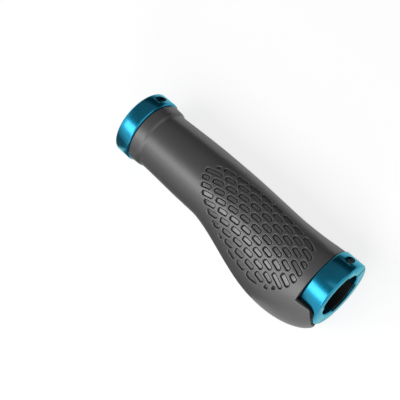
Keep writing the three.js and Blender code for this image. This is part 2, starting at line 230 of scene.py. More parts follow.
def bentRow(rowAngle, station):
    # angle of a row at a station: rows sag toward both ends, and the sag fades out beside the patch
    held = np.clip(station, patch["nearEnd"], patch["farEnd"])
    below = np.clip((rowAngle - patch["fadeLow"]) / patch["fadeLowSpan"], 0, 1)
    above = np.clip((patch["fadeHigh"] - rowAngle) / patch["fadeHighSpan"], 0, 1)
    fade = smoothStep(below) * smoothStep(above)
    return rowAngle - patch["rowBend"] * (held - rowMiddle(rowAngle)) ** 2 * fade


def findRowAngles():
    # goes down over the surface, so that the rows lie one pitch apart at the middle of the patch
    angle, step = float(patch["firstRowAngle"]), 0.5
    angles = [angle]
    while len(angles) < patch["rowCount"]:
        left = patch["rowPitch"]
        while left > 0:
            left -= degreeLength(patch["middle"], angle) * step
            angle -= step
        angle -= left / degreeLength(patch["middle"], angle)
        angles.append(float(angle))
    return np.array(angles)


def smoothLoop(corners, count):
    # closed curve through the corners, in the Catmull-Rom manner
    corners = np.array(corners, float)
    points = []
    for place in np.arange(count) * len(corners) / count:
        i, t = int(place), place % 1
        a, b, c, d = (corners[(i + k) % len(corners)] for k in (-1, 0, 1, 2))
        points.append(
            b + 0.5 * t * (c - a + t * (2 * a - 5 * b + 4 * c - d + t * (3 * (b - c) + d - a)))
        )
    return np.array(points)


rowAngles = findRowAngles()
patchLoop = smoothLoop(patch["corners"], patch["outlinePoints"])


def rowsAndEnds():
    # numbers and angles of the rows, with one more row at each end
    steps = np.diff(rowAngles)
    angles = np.concatenate(([rowAngles[0] - steps[0]], rowAngles, [rowAngles[-1] + steps[-1]]))
    return np.arange(-1, len(rowAngles) + 1), angles


def rowNumber(rowAngle):
    # counts the rows from 0 at the first one, with fractions between them
    numbers, angles = rowsAndEnds()
    return np.interp(rowAngle, angles[::-1], numbers[::-1])


def insidePatch(station, angle):
    # distance in millimetres from the patch's outline, positive inside
    scale = degreeLength(station, angle)
    best = np.full(np.shape(station), np.inf)
    for here, there in zip(patchLoop, np.roll(patchLoop, -1, axis=0)):
        edge = there - here
        normalX = edge[1] * scale
        normalY = -edge[0]
        length = np.hypot(normalX, normalY)
        away = ((station - here[0]) * normalX + (angle - here[1]) * scale * normalY) / length
        best = np.minimum(best, away)
    return best


def rowTable():
    # one point for each row: where it enters and leaves the patch, and its first and last pocket
    rows = []
    for index, rowAngle in enumerate(rowAngles):
        above = patchLoop[:, 1] - bentRow(rowAngle, patchLoop[:, 0])
        below = np.roll(above, -1)
        cross = np.nonzero(above * below < 0)[0]
        share = above[cross] / (above[cross] - below[cross])
        ends = patchLoop[cross, 0] + share * (np.roll(patchLoop[:, 0], -1)[cross] - patchLoop[cross, 0])
        low, high = ends.min(), ends.max()
        first = patch["columnStart"] + (patch["pocketPitch"] / 2 if index % 2 == 0 else 0)
        halfLength = patch["pocketLength"] / 2
        lowColumn = math.ceil((low + patch["pocketLeast"] - first - halfLength) / patch["pocketPitch"])
        highColumn = math.floor((high - patch["pocketLeast"] - first + halfLength) / patch["pocketPitch"])
        rows.append({"rowLow": low, "rowHigh": high, "lowColumn": lowColumn, "highColumn": highColumn})
    mesh = newMesh("pocketRows", [(0, 0, index) for index in range(len(rows))])
    for name in rows[0]:
        storeValues(mesh, name, [float(row[name]) for row in rows])
    return newObject("pocketRows", mesh)


# mesh of the rubber: a closed grid whose columns follow the pocket rows
grid = {
    "spans": [(patch["nearEnd"], 0.5), (patch["farEnd"], 0.21), (111, 1.6), (113.6, 0.6), (116.6, 0.2)],
    "lastStep": 0.8,
    "besideRow": (0.4, 0.8, 0.92, 1.02, 1.12, 1.22, 1.34, 1.5),
    "betweenRows": 1.8,
    "besideCutRow": (-0.6, -0.2, 0.2, 0.6),
    "besidePatch": 2,
    "columnStep": 4.5,
    "leastApart": 0.25,
    "searchStep": 0.05,
    "besideTongueEdge": (0.8, 1.2, 1.7, 2.3, 3.0),
    "tongueSpans": [(0.06, 0.012), (1, 0.045)],
    "tongueSearch": 200,
    "slack": 0.001,
}


def edgeDrop(distance):
    radius = sleeve["edgeRadius"]
    inward = np.clip(radius - distance, 0, radius)
    return radius - np.sqrt(radius * radius - inward * inward)


def fill(start, end, step):
    count = max(1, round(abs(end - start) / step))
    return list(np.linspace(start, end, count + 1)[:-1])


def edgeArc():
    # distances from an edge at which the grid follows its rounding
    return [sleeve["edgeRadius"] * (1 - math.cos(math.radians(angle))) for angle in sleeve["edgeAngles"]]


def fillSpans(start, spans):
    found = []
    for end, step in spans:
        found += fill(start, end, step)
        start = end
    return found


def gridStations():
    near = [sleeve["start"] + step for step in edgeArc()]
    far = [sleeve["end"] - step for step in reversed(edgeArc())]
    spans = grid["spans"] + [(far[0], grid["lastStep"])]
    return np.array(near[:-1] + fillSpans(near[-1], spans) + far)


def tongueEdgeAngles():
    # columns close together at both edges of the tongue, and one at each side of the space for the rim
    perDegree = math.radians(sleeve["tongueRadius"])
    inward = edgeArc() + list(grid["besideTongueEdge"])
    offsets = [-step / perDegree for step in inward] + [sleeve["besideTongue"] / perDegree]
    upper, lower = sleeve["tongueUpper"], sleeve["tongueLower"]
    return [upper + offset for offset in offsets] + [lower - offset for offset in offsets]


def gridColumns():
    # row angles of the columns, all the way round
    side = grid["besideRow"]
    offsets = [-step for step in reversed(side)] + list(side) + [grid["betweenRows"]]
    numbers = [i + offset / patch["rowPitch"] for i in range(len(rowAngles)) for offset in offsets]
    # the patch's outline cuts the pockets of its first and last row lengthwise
    for i in (0, len(rowAngles) - 1):
        numbers += [i + offset / patch["rowPitch"] for offset in grid["besideCutRow"]]
    inRows = np.interp(np.sort(numbers), *rowsAndEnds())
    margin = grid["besidePatch"]
    beside = fill(inRows.max() + margin, inRows.min() + 360 - margin, grid["columnStep"])
    columns = np.sort(np.concatenate((inRows, [angle - 360 if angle > 180 else angle for angle in beside])))
    fine = np.arange(-180, 180, grid["searchStep"])
    atTongue = bentRow(fine, sleeve["start"])
    exact = np.interp(tongueEdgeAngles(), atTongue, fine)
    kept = [angle for angle in columns if np.abs(exact - angle).min() > grid["leastApart"]]
    return np.sort(np.concatenate((kept, exact)))


def tongueSide(angle):
    # distance from the tongue's nearer long edge
    nearer = np.minimum(sleeve["tongueUpper"] - angle, angle - sleeve["tongueLower"])
    return nearer * math.radians(sleeve["tongueRadius"])


def tongueEnd(angle):
    # station where the tongue ends: round at its corners, and no thinner than its least wall
    corner = sleeve["tongueCorner"]
    inward = np.clip(corner - tongueSide(angle), 0, corner)
    rounded = sleeve["tongueStart"] + corner - np.sqrt(corner * corner - inward * inward)
    stations = np.linspace(sleeve["tongueStart"], sleeve["start"], grid["tongueSearch"])
    shape = (-1,) + (1,) * np.ndim(angle)
    thick = sleeveRadius(stations.reshape(shape), angle) >= sleeve["tongueRadius"] + sleeve["leastWall"]
    return np.maximum(rounded, stations[np.argmax(thick, axis=0)])


def outerRadius(station, angle):
    onTongue = np.minimum(tongueSide(angle), station - tongueEnd(angle))
    inside = np.minimum(np.maximum(station - sleeve["start"], onTongue), sleeve["end"] - station)
    return sleeveRadius(station, angle) - sleeve["inset"] - edgeDrop(np.clip(inside, 0, None))


def quad(at, line, column):
    # the face between two lines and two columns of a grid
    return at(line, column), at(line, column + 1), at(line + 1, column + 1), at(line + 1, column)


def buildSleeveMesh():
    stations, columns = gridStations(), gridColumns()
    lineCount, columnCount = len(stations), len(columns)
    s, row = np.meshgrid(stations, columns, indexing="ij")
    angle = bentRow(row, s)
    points, faces, attributes = [], [], {"alongRow": [], "rowNumber": [], "insidePatch": []}
    off = patch["offSkin"]

    def add(station, angleHere, radius, alongRow=off, rowNumberHere=off, insideHere=off):
        first = len(points)
        points.extend(placeAt(station, angleHere, radius).reshape(-1, 3).tolist())
        for values, given in zip(attributes.values(), (alongRow, rowNumberHere, insideHere)):
            values.extend(np.broadcast_to(given, np.shape(angleHere)).ravel().tolist())
        return first

    number = rowNumber(row)
    across = (number - np.round(number)) * patch["rowPitch"]
    lean = -2 * patch["rowBend"] * (s - rowMiddle(row)) * degreeLength(s, angle)
    inPatch = (s > patch["nearEnd"]) & (s < patch["farEnd"])
    alongRow = s - np.where(inPatch, lean * across, 0)
    outer = add(s, angle, outerRadius(s, angle), alongRow, number, insidePatch(s, angle))

    def outerAt(line, column):
        return outer + line * columnCount + column % columnCount

    for line in range(lineCount - 1):
        for k in range(columnCount):
            faces.append(quad(outerAt, line, k))

    # inside of the sleeve: a seat for the core's flange at each end, and the bore between them
    def ring(station, radius):
        return add(station, bentRow(columns, station), radius)

    seatRadius, boreRadius = sleeve["seatRadius"], sleeve["boreRadius"]
    mouth = ring(sleeve["start"], seatRadius)
    steps = (("seatStart", seatRadius), ("seatStart", boreRadius), ("seatEnd", boreRadius),
             ("seatEnd", seatRadius), ("end", seatRadius))
    inner = [ring(sleeve[name], radius) for name, radius in steps] + [outerAt(lineCount - 1, 0)]
    for near, far in zip(inner, inner[1:]):
        for k in range(columnCount):
            after = (k + 1) % columnCount
            faces.append((near + k, far + k, far + after, near + after))

    # the tongue: its own lines between its rounded end and the body, over a space for the core's rim
    atStart = bentRow(columns, sleeve["start"])
    beside = sleeve["besideTongue"] / math.radians(sleeve["tongueRadius"])

    def columnsWithin(margin):
        margin += grid["slack"]
        low, high = sleeve["tongueLower"] - margin, sleeve["tongueUpper"] + margin
        return np.nonzero((atStart > low) & (atStart < high))[0]

    held, space = columnsWithin(0), columnsWithin(beside)
    roofNear = add(sleeve["start"], atStart[space], sleeve["tongueRadius"])
    roofFar = add(sleeve["seatStart"], atStart[space], sleeve["tongueRadius"])
    shares = np.array(fillSpans(0, grid["tongueSpans"]))
    t, a = np.meshgrid(shares, atStart[held], indexing="ij")
    tongueS = tongueEnd(a) + (sleeve["start"] - tongueEnd(a)) * t
    top = add(tongueS, a, outerRadius(tongueS, a))
    under = add(tongueS, a, sleeve["tongueRadius"])
    width, last, shift = len(held), len(held) - 1, held[0] - space[0]

    def topAt(line, j):
        return top + line * width + j if line < len(shares) else outerAt(0, held[j])

    def underAt(line, j):
        return under + line * width + j if line < len(shares) else roofNear + shift + j

    for line in range(len(shares)):
        for j in range(last):
            here, right, across, below = quad(underAt, line, j)
            faces += [quad(topAt, line, j), (here, below, across, right)]
        faces.append((topAt(line, 0), topAt(line + 1, 0), underAt(line + 1, 0), underAt(line, 0)))
        faces.append((topAt(line, last), underAt(line, last), underAt(line + 1, last), topAt(line + 1, last)))
    for j in range(last):
        faces.append((topAt(0, j), underAt(0, j), underAt(0, j + 1), topAt(0, j + 1)))

    # front face of the sleeve, and the walls of the space for the rim
    place = {column: j for j, column in enumerate(space.tolist())}
    onTongue = set(held.tolist())
    for k in range(columnCount):
        after = (k + 1) % columnCount
        if k in place and after in place:
            j = place[k]
            faces.append((roofNear + j, roofFar + j, roofFar + j + 1, roofNear + j + 1))
            faces.append((inner[0] + k, inner[0] + after, roofFar + j + 1, roofFar + j))
            if not (k in onTongue and after in onTongue):
                faces.append((roofNear + j, roofNear + j + 1, outerAt(0, after), outerAt(0, k)))
        else:
            front = [mouth + k, mouth + after, outerAt(0, after), outerAt(0, k)]
            if after in place:
                front.insert(2, roofNear + place[after])
            if k in place:
                front.append(roofNear + place[k])
            faces.append(tuple(front))
            faces.append((mouth + k, inner[0] + k, inner[0] + after, mouth + after))
    low, high, lastPlace = space[0], space[-1], len(space) - 1
    faces.append((mouth + low, inner[0] + low, roofFar, roofNear))
    faces.append((roofNear + lastPlace, roofFar + lastPlace, inner[0] + high, mouth + high))

    # the mouth's ring isn't used inside the space for the rim
    used = np.unique(np.concatenate([np.array(face) for face in faces]))
    renumbered = np.full(len(points), -1)
    renumbered[used] = np.arange(len(used))
    usedFaces = [[int(renumbered[i]) for i in face] for face in faces]
    mesh = newMesh("draftSleeve", [points[i] for i in used], usedFaces)
    for name, values in attributes.items():
        storeValues(mesh, name, [values[i] for i in used])
    return mesh


# node trees: links, nodes with their settings and constant inputs, named sockets and sums
def link(source, target):
    source.id_data.links.new(source, target)


def addNode(tree, kind, inputs=(), **settings):
    node = tree.nodes.new(kind)
    for name, value in settings.items():
        setattr(node, name, value)
    for name, value in dict(inputs).items():
        node.inputs[name].default_value = value
    return node


def newTree(name, kind, inputs, outputs):
    # sockets are given as {"Float": [names], ...}; returns the tree and its two ends inside it
    tree = bpy.data.node_groups.new(name, kind)
    for direction, sockets in (("INPUT", inputs), ("OUTPUT", outputs)):
        for socketKind, names in sockets.items():
            for socket in names:
                tree.interface.new_socket(socket, in_out=direction, socket_type="NodeSocket" + socketKind)
    given = addNode(tree, "NodeGroupInput").outputs
    result = addNode(tree, "NodeGroupOutput").inputs
    return tree, given, result


def mathNode(tree, operation, *values, clamp=False):
    node = addNode(tree, "ShaderNodeMath", operation=operation, use_clamp=clamp)
    for socket, value in zip(node.inputs, values):
        if isinstance(value, (int, float)):
            socket.default_value = value
        else:
            link(value, socket)
    return node.outputs[0]


def namedField(tree, name):
    node = addNode(tree, "GeometryNodeInputNamedAttribute", {"Name": name}, data_type="FLOAT")
    return node.outputs["Attribute"]


def sums(tree):
    # short names for the commonest Math nodes
    return [partial(mathNode, tree, name) for name in ("ADD", "SUBTRACT", "MULTIPLY", "DIVIDE")]


def finishTree(tree, flow, nodes, material, result):
    # leads the geometry through the nodes, makes instances real and gives them their material
    paint = addNode(tree, "GeometryNodeSetMaterial")
    link(material, paint.inputs["Material"])
    for node in (*nodes, addNode(tree, "GeometryNodeRealizeInstances"), paint):
        link(flow, node.inputs["Geometry"])
        flow = node.outputs["Geometry"]
    link(flow, result["Geometry"])
    return tree


# the pocket tree's sizes: "Row Pitch" takes the patch's rowPitch, and so on
pocketSizes = (
    "Row Pitch", "Row Count", "Column Start", "Pocket Pitch", "Pocket Length", "Pocket Height",
    "Pocket Depth", "Corner Radius", "Wall Width", "Wall Blend", "Trench Middle", "Trench Width",
    "Trench Depth", "Trench Gain", "Trench Blend", "Rim Width", "Rim Drop", "Cut Slope", "Cut Blend",
    "Beyond Rows", "Off Skin",
)


def buildPocketTree():
    # presses the pockets into the rubber
    tree, given, result = newTree(
        "pressPockets", "GeometryNodeTree",
        {"Geometry": ["Geometry"], "Object": ["Row Table"], "Material": ["Rubber"],
         "Float": [*pocketSizes, "Millimetre"]},
        {"Geometry": ["Geometry"]},
    )
    calc = partial(mathNode, tree)
    settings = {"data_type": "FLOAT", "domain": "POINT"}
    plus, minus, times, over = sums(tree)
    number, along, insideField = (namedField(tree, name) for name in ("rowNumber", "alongRow", "insidePatch"))
    row = calc("ROUND", number)
    across = times(minus(number, row), given["Row Pitch"])
    wholeRow = addNode(tree, "FunctionNodeFloatToInt")
    link(row, wholeRow.inputs[0])

    # the row's own ends and first and last pocket, read from the row table
    table = addNode(tree, "GeometryNodeObjectInfo")
    link(given["Row Table"], table.inputs["Object"])

    def ofRow(name):
        sample = addNode(tree, "GeometryNodeSampleIndex", clamp=True, **settings)
        link(table.outputs["Geometry"], sample.inputs["Geometry"])
        link(namedField(tree, name), sample.inputs["Value"])
        link(wholeRow.outputs[0], sample.inputs["Index"])
        return sample.outputs["Value"]

    rowLow, rowHigh, lowColumn, highColumn = map(ofRow, ("rowLow", "rowHigh", "lowColumn", "highColumn"))

    # every other row is shifted by half a pitch; an even number of rows is added, so that none is below 0
    odd = calc("MODULO", plus(row, 20), 2)
    first = plus(given["Column Start"], times(minus(1, odd), times(given["Pocket Pitch"], 0.5)))
    column = calc("ROUND", over(minus(along, first), given["Pocket Pitch"]))
    column = calc("MAXIMUM", calc("MINIMUM", column, highColumn), lowColumn)
    middle = plus(first, times(column, given["Pocket Pitch"]))
    half = times(given["Pocket Length"], 0.5)
    atLow = calc("LESS_THAN", minus(column, lowColumn), 0.5)
    atHigh = calc("LESS_THAN", minus(highColumn, column), 0.5)

    def choose(share, other, value):
        return plus(value, times(share, minus(other, value)))

    start = choose(atLow, rowLow, minus(middle, half))
    end = choose(atHigh, rowHigh, plus(middle, half))
    centre = times(plus(start, end), 0.5)
    halfLength = times(minus(end, start), 0.5)

    # distance from the pocket's rounded outline, negative inside
    radius = given["Corner Radius"]
    overX = minus(calc("ABSOLUTE", minus(along, centre)), minus(halfLength, radius))
    overY = minus(calc("ABSOLUTE", across), minus(times(given["Pocket Height"], 0.5), radius))
    outX, outY = calc("MAXIMUM", overX, 0), calc("MAXIMUM", overY, 0)
    corner = calc("SQRT", plus(times(outX, outX), times(outY, outY)))
    within = calc("MINIMUM", calc("MAXIMUM", overX, overY), 0)
    distance = minus(plus(corner, within), radius)
    # where the patch's outline cuts a pocket off, its wall is less steep
    cutOff = times(insideField, times(given["Cut Slope"], -1))
    clipped = calc("SMOOTH_MAX", distance, cutOff, given["Cut Blend"])
    pastEnd = calc("GREATER_THAN", number, minus(given["Row Count"], 0.5))
    beyond = plus(calc("LESS_THAN", number, -0.5), pastEnd)
    clipped = plus(clipped, times(beyond, given["Beyond Rows"]))

    # a soft rim, a steep wall, a flat floor and the trench round it
    wall = over(times(clipped, -1), given["Wall Width"], clamp=True)
    wall = calc("SMOOTH_MIN", wall, 1, given["Wall Blend"])
    rim = minus(1, over(clipped, given["Rim Width"], clamp=True))
    rim = times(times(rim, rim), given["Rim Drop"])
    offTrench = calc("ABSOLUTE", plus(clipped, given["Trench Middle"]))
    trench = minus(1, over(offTrench, times(given["Trench Width"], 0.5)), clamp=True)
    trench = calc("SMOOTH_MIN", times(trench, given["Trench Gain"]), 1, given["Trench Blend"])
    deep = times(wall, minus(given["Pocket Depth"], given["Rim Drop"]))
    deep = plus(deep, times(trench, given["Trench Depth"]))
    depth = times(plus(deep, rim), given["Millimetre"])

    # points off the outer skin have no row: they stay, and count as far from any pocket
    isSkin = calc("GREATER_THAN", number, times(given["Off Skin"], 0.5))
    move = addNode(tree, "ShaderNodeVectorMath", operation="SCALE")
    link(addNode(tree, "GeometryNodeInputNormal").outputs["Normal"], move.inputs[0])
    link(times(times(depth, isSkin), -1), move.inputs["Scale"])
    setPlace = addNode(tree, "GeometryNodeSetPosition")
    link(move.outputs[0], setPlace.inputs["Offset"])
    store = addNode(tree, "GeometryNodeStoreNamedAttribute", {"Name": "pocketDistance"}, **settings)
    link(choose(isSkin, clipped, times(given["Off Skin"], -1)), store.inputs["Value"])
    # the distance is read before the skin moves, so it is stored first
    return finishTree(tree, given["Geometry"], (store, setPlace), given["Rubber"], result)


def meshFromNodes(draft, tree, values):
    # sets the named inputs, turns the result into a plain mesh and takes the draft away
    modifier = draft.modifiers.new(tree.name, "NODES")
    modifier.node_group = tree
    for item in tree.interface.items_tree:
        if item.item_type == "SOCKET" and item.in_out == "INPUT" and item.name in values:
            modifier[item.identifier] = values[item.name]
    bpy.context.view_layer.update()
    graph = bpy.context.evaluated_depsgraph_get()
    evaluated = draft.evaluated_get(graph)
    mesh = bpy.data.meshes.new_from_object(evaluated, preserve_all_data_layers=True, depsgraph=graph)
    draft.modifiers.remove(modifier)
    bpy.data.objects.remove(draft)
    return mesh


# shader group and materials
def buildGrainGroup():
    # fine grain and slow variation for any surface, from Object coordinates
    tree, given, result = newTree(
        "surfaceGrain", "ShaderNodeTree",
        {"Vector": ["Vector"], "Float": ["Grain Size", "Grain Detail", "Mottle Size", "Mottle Detail"]},
        {"Float": ["Grain", "Mottle"]},
    )
    for output in ("Grain", "Mottle"):
        noise = addNode(tree, "ShaderNodeTexNoise")
        link(given["Vector"], noise.inputs["Vector"])
        link(mathNode(tree, "DIVIDE", 1, given[output + " Size"]), noise.inputs["Scale"])
        link(given[output + " Detail"], noise.inputs["Detail"])
        link(noise.outputs["Fac"], result[output])
    return tree


grainGroup = buildGrainGroup()
mottleDetail = 3.0


def newMaterial(name, constants, kind="ShaderNodeBsdfPrincipled"):
    material = bpy.data.materials.new(name)
    material.use_nodes = True
    tree = material.node_tree
    tree.nodes.clear()
    shader = addNode(tree, kind, constants)
    link(shader.outputs[0], addNode(tree, "ShaderNodeOutputMaterial").inputs["Surface"])
    return material, tree, shader


def addGrain(tree, look, vector=None):
    node = addNode(tree, "ShaderNodeGroup", {
        "Grain Size": look["grainSize"],
        "Grain Detail": look["grainDetail"],
        "Mottle Size": look["mottleSize"],
        "Mottle Detail": mottleDetail,
    }, node_tree=grainGroup)
    if vector is None:
        vector = addNode(tree, "ShaderNodeTexCoord").outputs["Object"]
    link(vector, node.inputs["Vector"])
    return node.outputs["Grain"], node.outputs["Mottle"]


def remap(tree, value, low, high, start=0, end=1):
    limits = {"From Min": start, "From Max": end, "To Min": low, "To Max": high}
    node = addNode(tree, "ShaderNodeMapRange", limits)
    link(value, node.inputs["Value"])
    return node.outputs["Result"]


def mixColors(tree, share, first, second):
    node = addNode(tree, "ShaderNodeMix", data_type="RGBA")
    link(share, node.inputs["Factor"])
    for socket, value in ((node.inputs[6], first), (node.inputs[7], second)):
        if isinstance(value, tuple):
            socket.default_value = (*value, 1)
        else:
            link(value, socket)
    return node.outputs[2]


def mixValues(tree, share, first, second):
    node = addNode(tree, "ShaderNodeMix")
    link(share, node.inputs[0])
    link(first, node.inputs[2])
    node.inputs[3].default_value = second
    return node.outputs[0]


def addBump(tree, shader, height, look):
    node = addNode(tree, "ShaderNodeBump", {"Strength": look["bumpStrength"], "Distance": look["bumpDepth"]})
    link(height, node.inputs["Height"])
    link(node.outputs["Normal"], shader.inputs["Normal"])


rubberLook = {
    "shader": {"Specular IOR Level": 1.0},
    "skin": (0.060, 0.058, 0.061),
    "skinDark": (0.048, 0.047, 0.049),
    # painted highlight: a lighter grey along the pockets' rims
    "rim": (0.13, 0.128, 0.132),
    # painted shade: near black for the pockets' walls and trenches
    "wall": (0.004, 0.004, 0.004),
    # pocket floors lighter than the skin: partly their own tone, partly painted sheen
    "floor": (0.084, 0.082, 0.085),
    "floorDark": (0.070, 0.068, 0.071),
    "roughness": (0.38, 0.46),
    "floorRoughness": 0.32,
    "wallRoughness": 0.9,
    "rimHighlightBand": (0.22, 0.02, 0.2),
    "wallShadeShares": (0.25, 0.6),
    "floorBlend": 0.15,
    "grainSize": 0.00028,
    "grainDetail": 2.0,
    "mottleSize": 0.012,
    "bumpStrength": 0.35,
    "bumpDepth": 0.00004,
}


def rubberMaterial():
    look = rubberLook
    material, tree, shader = newMaterial("greyRubber", look["shader"])
    fine, mottle = addGrain(tree, look)
    away = addNode(tree, "ShaderNodeAttribute", attribute_name="pocketDistance").outputs["Fac"]

    def band(middle, full, end):
        # 1 within the full width round the middle, 0 past the end
        off = mathNode(tree, "ABSOLUTE", mathNode(tree, "SUBTRACT", away, middle))
        return remap(tree, off, 1, 0, full, end)

    # painted highlight: a thin lighter band along each pocket's rim
    paintedRimHighlight = band(*look["rimHighlightBand"])
    # painted shade: the trench and walls round each pocket are darkened, and the same mask makes them rougher
    wallShadeMask = band(-patch["trenchMiddle"], *(patch["trenchWidth"] * share for share in look["wallShadeShares"]))
    inPocket = remap(tree, away, 1, 0, -patch["wallWidth"] - look["floorBlend"], -patch["wallWidth"])
    skin = mixColors(tree, mottle, look["skinDark"], look["skin"])
    skin = mixColors(tree, paintedRimHighlight, skin, look["rim"])
    # lighter pocket floors, partly painted sheen
    floor = mixColors(tree, mottle, look["floorDark"], look["floor"])
    color = mixColors(tree, inPocket, skin, floor)
    color = mixColors(tree, wallShadeMask, color, look["wall"])
    link(color, shader.inputs["Base Color"])
    roughness = remap(tree, fine, *look["roughness"])
    roughness = mixValues(tree, inPocket, roughness, look["floorRoughness"])
    roughness = mixValues(tree, wallShadeMask, roughness, look["wallRoughness"])
    link(roughness, shader.inputs["Roughness"])
    addBump(tree, shader, fine, look)
    return material


plasticLook = {
    "shader": {"Specular IOR Level": 0.2},
    "color": (0.004, 0.004, 0.0045),
    "colorDeep": (0.0025, 0.0025, 0.003),
    "roughness": (0.5, 0.65),
    "grainSize": 0.0004,
    "grainDetail": 2.0,
    "mottleSize": 0.008,
    "bumpStrength": 0.2,
    "bumpDepth": 0.00003,
}

aluminiumLook = {
    "shader": {"Metallic": 1.0, "Specular Tint": (0, 1, 1, 1), "Coat Weight": 0.45, "Coat Roughness": 0.15},
    "color": (0.006, 0.26, 0.42),
    "colorDeep": (0.004, 0.21, 0.35),
    "roughness": (0.25, 0.31),
    "grainSize": 0.00012,
    "grainDetail": 3.0,
    "lineTurn": 0.0006,
    "mottleSize": 0.009,
    "bumpStrength": 0.12,
    "bumpDepth": 0.00002,
}

steelLook = {
    "shader": {"Metallic": 1.0},
    "color": (0.14, 0.145, 0.155),
    "colorDeep": (0.08, 0.083, 0.09),
    "roughness": (0.16, 0.28),
    "grainSize": 0.0002,
    "grainDetail": 2.0,
    "mottleSize": 0.004,
    "bumpStrength": 0.15,
    "bumpDepth": 0.00002,
}


def turnedVector(tree):
    # coordinates that are the same all round the bar, for fine turning lines
    plus, minus, times, _ = sums(tree)
    split = addNode(tree, "ShaderNodeSeparateXYZ")
    link(addNode(tree, "ShaderNodeTexCoord").outputs["Object"], split.inputs[0])
    y, z = minus(split.outputs["Y"], barY), minus(split.outputs["Z"], barZ)
    radius = mathNode(tree, "SQRT", plus(times(y, y), times(z, z)))
    turn = times(mathNode(tree, "ARCTAN2", z, y), aluminiumLook["lineTurn"])
    joined = addNode(tree, "ShaderNodeCombineXYZ")
    for source, target in ((split.outputs["X"], "X"), (radius, "Y"), (turn, "Z")):
        link(source, joined.inputs[target])
    return joined.outputs[0]


def plainMaterial(name, look, turned=False):
    # colour from the slow variation, roughness and bump from the grain or the turning lines
    material, tree, shader = newMaterial(name, look["shader"])
    fine, mottle = addGrain(tree, look)
    if turned:
        fine, _ = addGrain(tree, look, turnedVector(tree))
    link(mixColors(tree, mottle, look["colorDeep"], look["color"]), shader.inputs["Base Color"])
    link(remap(tree, fine, *look["roughness"]), shader.inputs["Roughness"])
    addBump(tree, shader, fine, look)
    return material


greyRubber = rubberMaterial()
blackPlastic = plainMaterial("blackPlastic", plasticLook)
blueAluminium = plainMaterial("blueAluminium", aluminiumLook, turned=True)
screwSteel = plainMaterial("screwSteel", steelLook)
print("materials ready")


def addPiece(name, mesh, material, slotName, sharpAngle, *nodes):
    mesh.name = name
    mesh.materials.clear()
    mesh.materials.append(material)
    mesh.shade_smooth()
    mesh.set_sharp_from_angle(angle=math.radians(sharpAngle))
    piece = newObject(name, mesh)
    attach(piece, "root")
    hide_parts(*nodes)
    print(name, len(mesh.vertices), "vertices")


# the rubber sleeve
def addRubber():
    rowPoints = rowTable()
    values = {name: float(patch[name[0].lower() + name[1:].replace(" ", "")]) for name in pocketSizes}
    values.update({"Row Table": rowPoints, "Rubber": greyRubber, "Millimetre": millimetre})
    mesh = meshFromNodes(newObject("draftSleeve", buildSleeveMesh()), buildPocketTree(), values)
    bpy.data.objects.remove(rowPoints)
    addPiece("rubberGrip", mesh, greyRubber, "grey_rubber", sleeve["sharpAngle"], "rubber_sleeve")


addRubber()

# the core: the frame's own shape with smooth rounds
coreLook = {
    "mergeDistance": 1e-6,
    "sharpAngle": 25,
}


def addCore():
    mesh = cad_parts["core_sleeve"].data.copy()
    work = bmesh.new()
    work.from_mesh(mesh)
    bmesh.ops.remove_doubles(work, verts=work.verts, dist=coreLook["mergeDistance"])
    work.to_mesh(mesh)
    work.free()
    addPiece("hardCore", mesh, blackPlastic, "black_plastic", coreLook["sharpAngle"], "core_sleeve")


addCore()

# the clamp rings, in millimetres and degrees
clampLook = {
    "segments": 256,
    "inset": 0.005,
    "boreRadius": 11.2,
    "boreSteps": 40,
    "recessRadius": 13.0,
    "recessAngles": (103, 283),
    "recessSpan": 86,
    "recessSteps": 60,
    "slitAngle": 199.5,
    "slitWidth": 1.2,
    "outerEdge": [(0, 0.62), (0.05, 0.54), (0.54, 0.05), (0.66, 0)],
    "boreEdge": [(0, 0.42), (0.04, 0.36), (0.36, 0.04), (0.44, 0)],
    "screwOffset": 13.6,
    "headHoleRadius": 2.1,
    "headHoleFloor": 3.9,
    "shankHoleRadius": 1.5,
    "shankHoleFloor": -7.6,
    "holeFacets": 64,
    "sharpAngle": 50,
}


def arcPoints(low, high, radius, count):
    # angles and radii of points along an arc round the bar
    return [(low + (high - low) * i / count, radius) for i in range(count + 1)]


def clampOutline(outer, bore):
    # closed line round the split ring, with angles at the slit that keep the slit's walls parallel
    slit = clampLook["slitAngle"]
    halfSlit, halfRecess = clampLook["slitWidth"] / 2, clampLook["recessSpan"] / 2

    def besideSlit(radius):
        return math.degrees(math.asin(halfSlit / radius))

    start, end = slit + besideSlit(outer), slit + 360 - besideSlit(outer)
    outside = arcPoints(start, end, outer, clampLook["segments"])
    inside = []
    here = slit + besideSlit(bore)
    for centre in sorted((angle - slit) % 360 + slit for angle in clampLook["recessAngles"]):
        low, high = centre - halfRecess, centre + halfRecess
        inside += arcPoints(here, low, bore, clampLook["boreSteps"])
        inside += arcPoints(low, high, clampLook["recessRadius"], clampLook["recessSteps"])
        here = high
    inside += arcPoints(here, slit + 360 - besideSlit(bore), bore, clampLook["boreSteps"])
    return outside + inside[::-1]


def loftMesh(name, points, count):
    # closed mesh through rings of count points each
    faces = []
    for first in range(0, len(points) - count, count):
        for i in range(count):
            here, there = first + i, first + (i + 1) % count
            faces.append((here, there, there + count, here + count))
    faces.append(tuple(reversed(range(count))))
    faces.append(tuple(range(len(points) - count, len(points))))
    return newMesh(name, points, faces)


def clampBody(low, high):
    width = (high - low) / millimetre
    steps = sorted({step for step, _ in clampLook["outerEdge"] + clampLook["boreEdge"]})
    points = []
    for station in steps + [width - step for step in reversed(steps)]:
        depth = min(station, width - station)
        drop = np.interp(depth, *zip(*clampLook["outerEdge"]))
        flare = np.interp(depth, *zip(*clampLook["boreEdge"]))
        outline = clampOutline(clampRadius - clampLook["inset"] - drop, clampLook["boreRadius"] + flare)
        angles, radii = np.array(outline).T
        points += placeAt((outerFace - high) / millimetre + station, angles, radii).tolist()
    return loftMesh("clampBody", points, len(outline))


